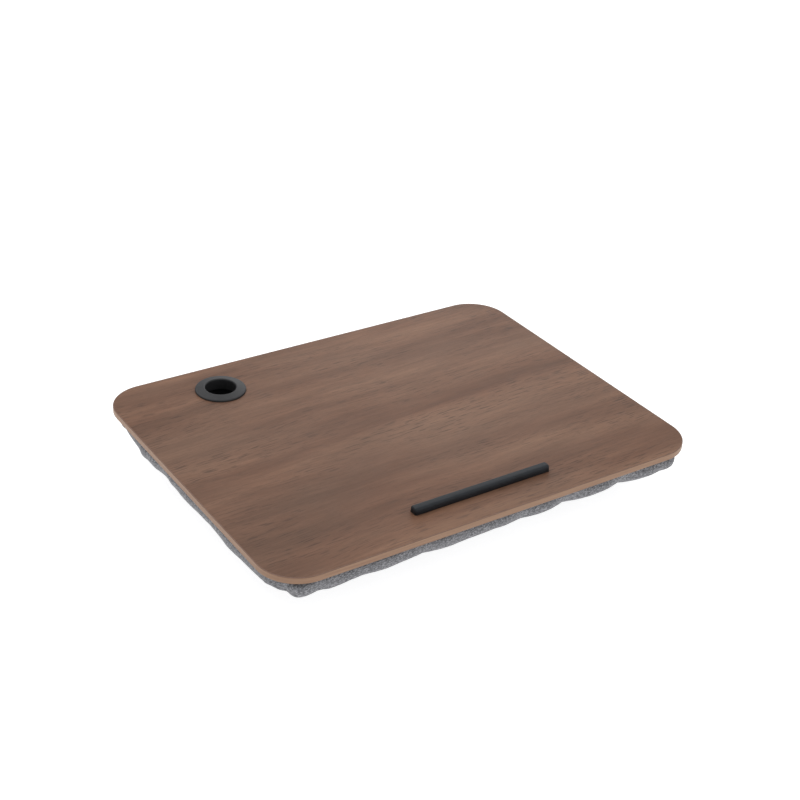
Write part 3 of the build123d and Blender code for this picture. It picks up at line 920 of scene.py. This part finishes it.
def pillow(name, inside, material):
    """A plain pillow inside the cover, with a hollow under the cable pocket."""
    points = []
    shrink = cover_thickness + layer_gap + inside
    top_depth = cushion_top - panel_low.z + pocket_wall
    profile = cushion_profile(top_depth)
    for row, (depth, inset, lean, gather) in enumerate(profile):
        points += cushion_ring(
            cushion_top - depth + shrink * (math.sin(lean) if row else -1),
            inset + shrink * math.cos(lean) + gather_depth * gather + side_draw_in,
            max(inset - back_fullness, 0) + shrink + zip_well - cover_thickness,
            0,
            0,
        )
    ring = len(points) // len(profile)
    faces = sleeve(ring, len(profile))
    faces += ring_cover(points, len(points) - ring, -1)
    faces += ring_cover(points, 0, 1)
    piece = mesh_piece(name, points, faces, material)
    pocket_depth = pocket_high.z - pocket_low.z
    floor_z = pocket_low.z - inside - 2 * layer_gap
    normals = [vertex.normal.copy() for vertex in piece.data.vertices]
    for vertex, normal in zip(piece.data.vertices, normals):
        reach = (vertex.co.xy - grommet_axis).length - inside
        if vertex.co.z > cushion_top - pocket_depth:
            into = (hollow_rim - reach) / (hollow_rim - hollow_floor)
            into = min(max(into, 0), 1)
            vertex.co.z += (floor_z - vertex.co.z) * into * into * (3 - 2 * into)
        ruffle = ruffle_depth * abs(noise.noise(vertex.co * ruffles_per_metre))
        vertex.co -= normal * ruffle
        vertex.co.z = max(vertex.co.z, cover_thickness + layer_gap + inside)
    return piece


def dress_pillow():
    bag = pillow("inner_bag_fabric", bag_inside, bag_cloth)
    thicken(bag, bag_thickness)
    place_piece(bag, "inner_bag")
    filling = pillow("cushion_filling_fibre", filling_inside, fibre_fill)
    place_piece(filling, "cushion_filling")


dress_pillow()
dress_panel()

# The pocket's mesh, its clearances, and how far it sags and folds

pocket_columns = 96
pocket_rows = 14
pocket_floor_rings = (0.85, 0.65, 0.45, 0.25, 0.08)
pocket_rim_width = 3.5 * mm
pocket_clearance = 0.1 * mm
pocket_edge_clearance = 0.3 * mm
pocket_sag = 0.5 * mm
pocket_fold = 0.35 * mm


def turned(profile, wave):
    """Rings of points round the grommet's axis, from a profile of radius and height."""
    points = []
    for row, (radius, height) in enumerate(profile):
        for column in range(pocket_columns):
            angle = math.tau * column / pocket_columns
            reach = radius + wave(row / (len(profile) - 1), angle)
            x = grommet_x + reach * math.cos(angle)
            y = grommet_y + reach * math.sin(angle)
            points.append((x, y, height))
    return points


def dress_pocket():
    """The cable pocket: a cup of gathered cloth that hangs from its flat rim."""
    rim_z = panel_low.z - pocket_clearance
    floor_z = pocket_low.z + pocket_wall + pocket_clearance
    rim_edge = (pocket_high.x - pocket_low.x) / 2 - pocket_edge_clearance
    profile = [(rim_edge, rim_z), (pocket_mouth_radius + pocket_rim_width, rim_z)]
    for row in range(pocket_rows + 1):
        share = row / pocket_rows
        radius = pocket_mouth_radius + (pocket_floor_radius - pocket_mouth_radius) * share
        sag = math.sin(math.pi * share) * pocket_sag
        height = rim_z + (floor_z - rim_z) * share
        profile.append((radius - sag, height))
    profile += [(pocket_floor_radius * share, floor_z) for share in pocket_floor_rings]

    def wave(share, angle):
        # Seven folds, and twelve smaller ones between them
        folds = math.sin(7 * angle + 1.3) + 0.6 * math.sin(12 * angle + 0.4)
        middle = math.sin(math.pi * min(share * 1.4, 1))
        return -pocket_fold * (1.6 + folds) * middle

    points = turned(profile, wave)
    faces = sleeve(pocket_columns, len(profile))
    faces.append(cap(len(points) - pocket_columns, pocket_columns))
    piece = mesh_piece("cable_pocket_cloth", points, faces, pocket_cloth)
    tidy_normals(piece)
    thicken(piece, pocket_wall - cloth_gap)
    place_piece(piece, "cable_pocket")


dress_pocket()


# Stop strip: as the photo shows it, narrower than its part, with a crowned top and rounded ends

strip_low, strip_high = Vector((-87.7, -168.3)) * mm, Vector((83.6, -156.9)) * mm
strip_leans = (0.1 * mm, 0.9 * mm)
strip_roundings = (1.1 * mm, 2.4 * mm)
strip_corner_radius = 2.4 * mm
strip_tape_margin = 0.8 * mm
tape_roundings = (0.1 * mm, 0.1 * mm)

# How a bar's corners sharpen with the inset, and how far

corner_sharpening = 0.4
sharpest_corner = 0.4 * mm
arc_steps = 6


def bar(name, low, high, leans, roundings, corner, material):
    """A bar with rounded corners, leaning ends and sides and a rounded top edge.

    leans and roundings each give the ends' value and then the sides'.
    """
    end_lean, lean = leans
    end_rounding, rounding = roundings
    levels = [(low.z, 0, 0), (high.z - rounding, end_lean, lean)]
    for step in range(1, arc_steps + 1):
        angle = math.pi / 2 * step / arc_steps
        height = high.z - rounding * (1 - math.sin(angle))
        draw = 1 - math.cos(angle)
        levels.append((height, end_lean + end_rounding * draw, lean + rounding * draw))
    points = []
    for height, end_inset, inset in levels:
        radius = max(corner - inset * corner_sharpening, sharpest_corner)
        corners = (
            (high.x, high.y, -1, -1),
            (low.x, high.y, 1, -1),
            (low.x, low.y, 1, 1),
            (high.x, low.y, -1, 1),
        )
        for quarter, (corner_x, corner_y, way_x, way_y) in enumerate(corners):
            for step in range(arc_steps + 1):
                angle = math.pi / 2 * (quarter + step / arc_steps)
                x = corner_x + way_x * (end_inset + radius) + radius * math.cos(angle)
                y = corner_y + way_y * (inset + radius) + radius * math.sin(angle)
                points.append((x, y, height))
    ring = len(points) // len(levels)
    faces = sleeve(ring, len(levels))
    faces += [cap(0, ring), cap(len(points) - ring, ring)]
    piece = mesh_piece(name, points, faces, material)
    tidy_normals(piece)
    return piece


def dress_strip():
    """The strip and the tape under it."""
    tape_low, tape_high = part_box("stop_strip_tape")
    strip_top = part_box("stop_strip")[1].z
    strip = bar(
        "stop_strip_rubber",
        Vector((*strip_low, tape_high.z)),
        Vector((*strip_high, strip_top)),
        strip_leans,
        strip_roundings,
        strip_corner_radius,
        strip_rubber,
    )
    place_piece(strip, "stop_strip")
    margin = Vector((strip_tape_margin, strip_tape_margin))
    tape = bar(
        "stop_strip_foam_tape",
        Vector((*(strip_low + margin), tape_low.z)),
        Vector((*(strip_high - margin), tape_high.z)),
        (0, 0),
        tape_roundings,
        strip_corner_radius - strip_tape_margin,
        adhesive,
    )
    place_piece(tape, "stop_strip_tape")


dress_strip()

# Ribbons: zip tapes, hook tapes and loop tapes

ribbon_step = 2.5 * mm
ribbon_columns = 8
fewest_ribbon_rows = 8

# Shares of a ribbon's thickness that its edges, ribs and unevenness take away

selvedge_share = 0.35
zip_rib_share = 0.12
uneven_share = 0.06
uneven_per_metre = 300
zip_ribs = 3


def dress_ribbon(node, material, ribs=0, rib_share=0):
    """A woven strip in its node's space: thin at its edges, ribbed along it, a little uneven."""
    low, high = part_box(node)
    size = high - low
    along, across, up = sorted(range(3), key=lambda axis: -size[axis])
    centre = (low + high) / 2
    rows = max(int(size[along] / ribbon_step), fewest_ribbon_rows)
    points = []
    for row in range(rows + 1):
        for side in (1, -1):
            for column in range(ribbon_columns + 1):
                share = (2 * column / ribbon_columns - 1) * side
                selvedge = selvedge_share * share**8
                rib = rib_share * (0.5 - 0.5 * math.cos(math.pi * ribs * share))
                point = Vector((0, 0, 0))
                point[along] = size[along] * (row / rows - 0.5)
                point[across] = size[across] / 2 * share
                uneven = uneven_share * abs(noise.noise((point + centre) * uneven_per_metre))
                point[up] = side * size[up] / 2 * (1 - selvedge - rib - uneven)
                points.append(point + centre)
    ring = 2 * (ribbon_columns + 1)
    faces = sleeve(ring, rows + 1)
    faces += [cap(0, ring), cap(rows * ring, ring)]
    piece = mesh_piece(f"{node}_cloth", points, faces, material)
    tidy_normals(piece)
    place_piece(piece, node)
    return piece, (size[along], size[across])


for side in ("upper", "lower"):
    dress_ribbon(f"zip_tape_{side}", zip_ribbon, zip_ribs, zip_rib_share)
for side in ("front", "back", "left", "right"):
    strip, flat = dress_ribbon(f"hook_tape_{side}", hooks)
    strip, flat = dress_ribbon(f"loop_tape_{side}", loops)

# The stitches that hold the zip in the cover

stitch_row_distance = 2.8 * mm
stitch_pitch = 3.6 * mm
stitch_length = 2.7 * mm
stitch_radius = 0.24 * mm
stitch_proud = 0.12 * mm
stitch_sink = 0.3 * mm
stitch_taper = 0.45
stitch_rings = 5
stitch_sides = 6


def dress_stitches():
    """One row of lockstitch round the zip's slot, each stitch sunk at its ends."""
    half_x = zip_half_slot + stitch_row_distance
    half_z = zip_half_slot_height + stitch_row_distance
    outwards = Vector((0, 1, 0))
    corners = [(-half_x, half_z), (half_x, half_z), (half_x, -half_z), (-half_x, -half_z)]
    points, faces = [], []
    for number, (x, z) in enumerate(corners):
        start = Vector((x, back_wall, zip_z + z))
        next_x, next_z = corners[(number + 1) % 4]
        run = Vector((next_x, back_wall, zip_z + next_z)) - start
        count = round(run.length / stitch_pitch)
        way = run.normalized()
        side = way.cross(outwards)
        for stitch in range(count):
            middle = start + run * ((stitch + 0.5) / count)
            first = len(points)
            for step in range(stitch_rings):
                share = 2 * step / (stitch_rings - 1) - 1
                at = middle + way * (share * stitch_length / 2)
                at.y += stitch_proud - stitch_sink * share**2
                radius = stitch_radius * (1 - stitch_taper * share**4)
                points += circle(at, side, outwards, radius, stitch_sides)
            faces += sleeve(stitch_sides, stitch_rings, first)
            faces += [cap(first, stitch_sides), cap(len(points) - stitch_sides, stitch_sides)]
    piece = mesh_piece("zip_stitches", points, faces, thread)
    tidy_normals(piece)
    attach(piece, desk)


dress_stitches()

# Zip coils

coil_pitch = 1.5 * mm
coil_wire = 0.34 * mm
coil_turn_points = 10
coil_wire_sides = 6

# How much squarer the coils' heads are than their backs

coil_head_square = 0.25


def dress_coil(side, low, high):
    """One side of the zip: a flattened coil of nylon, with its heads towards the other side."""
    inwards = -1 if side == "upper" else 1
    middle_y, middle_z = (low.y + high.y) / 2, (low.z + high.z) / 2
    reach_y = (high.y - low.y) / 2 - coil_wire
    reach_z = (high.z - low.z) / 2 - coil_wire
    turns = int((high.x - low.x - 2 * coil_wire) / coil_pitch)
    start_x = (low.x + high.x) / 2 - turns * coil_pitch / 2
    path = []
    for number in range(turns * coil_turn_points + 1):
        angle = math.tau * number / coil_turn_points
        y, z = math.sin(angle), math.cos(angle)
        squared = 1 - coil_head_square * (1 - abs(z)) if z * inwards > 0 else 1
        x = start_x + coil_pitch * number / coil_turn_points
        path.append(Vector((x, middle_y + reach_y * y, middle_z + reach_z * z * squared)))
    points = []
    for number, at in enumerate(path):
        before = path[max(number - 1, 0)]
        after = path[min(number + 1, len(path) - 1)]
        way = (after - before).normalized()
        across = way.cross(Vector((1, 0, 0))).normalized()
        over = way.cross(across)
        points += circle(at, across, over, coil_wire, coil_wire_sides)
    faces = sleeve(coil_wire_sides, len(path))
    faces += [cap(0, coil_wire_sides), cap(len(points) - coil_wire_sides, coil_wire_sides)]
    piece = mesh_piece(f"zip_coil_{side}", points, faces, coil_nylon)
    tidy_normals(piece)
    place_piece(piece, f"zip_chain_{side}")


dress_coil("upper", upper_low, upper_high)
dress_coil("lower", lower_low, lower_high)


# Camera at the photograph's place

camera_place = Vector((-0.82268, -1.18564, 0.91770))
camera_elevation = math.radians(29.9447)
camera_azimuth = math.radians(-34.8329)
camera_roll = math.radians(3.1571)
camera_lens = 67.91

camera_data = bpy.data.cameras.new("camera")
camera_data.lens = camera_lens
camera_data.sensor_width = 36
camera_data.dof.use_dof = False
camera = new_object("camera", camera_data)
turn = Matrix.Rotation(camera_azimuth, 4, "Z")
turn @= Matrix.Rotation(math.pi / 2 - camera_elevation, 4, "X")
turn @= Matrix.Rotation(camera_roll, 4, "Z")
camera.matrix_world = Matrix.Translation(camera_place) @ turn
bpy.context.scene.camera = camera


# Floor and light


def floor_finish():
    """White acrylic, lit from below as a light table is, so that shadows on it stay faint."""
    made = Finish("floor_acrylic", Roughness=0.9, Emission_Strength=0.78)
    clouds = made.noise(3, 3, 3, detail=3)
    return made.finish(made.ramp(clouds, (0.3, 0.58), (0.7, 0.6)))


floor_size = 30
floor = mesh_piece(
    "floor",
    [(x * floor_size, y * floor_size, 0) for x, y in ((-1, -1), (1, -1), (1, 1), (-1, 1))],
    [(0, 1, 2, 3)],
    floor_finish(),
)


def area_light(name, place, target, size, power):
    """A soft square light that looks at a target."""
    data = bpy.data.lights.new(name, "AREA")
    data.energy = power
    data.size = size
    light = new_object(name, data)
    light.location = place
    light.rotation_euler = (Vector(target) - Vector(place)).to_track_quat("-Z", "Y").to_euler()


area_light("key", (-0.8, 1.6, 2.4), (0, 0, 0.05), 1.8, 24)
area_light("fill", (1.6, -2.2, 1.6), (0, 0, 0.05), 2.2, 12)
area_light("sheen", (1.0, 1.3, 0.8), (0.15, 0.1, 0.05), 1.0, 6)

world = bpy.data.worlds.new("studio")
world.use_nodes = True
world.node_tree.nodes["Background"].inputs["Color"].default_value = (1, 1, 1, 1)
world.node_tree.nodes["Background"].inputs["Strength"].default_value = 0.6
bpy.context.scene.world = world
bpy.context.scene.view_settings.view_transform = "Standard"
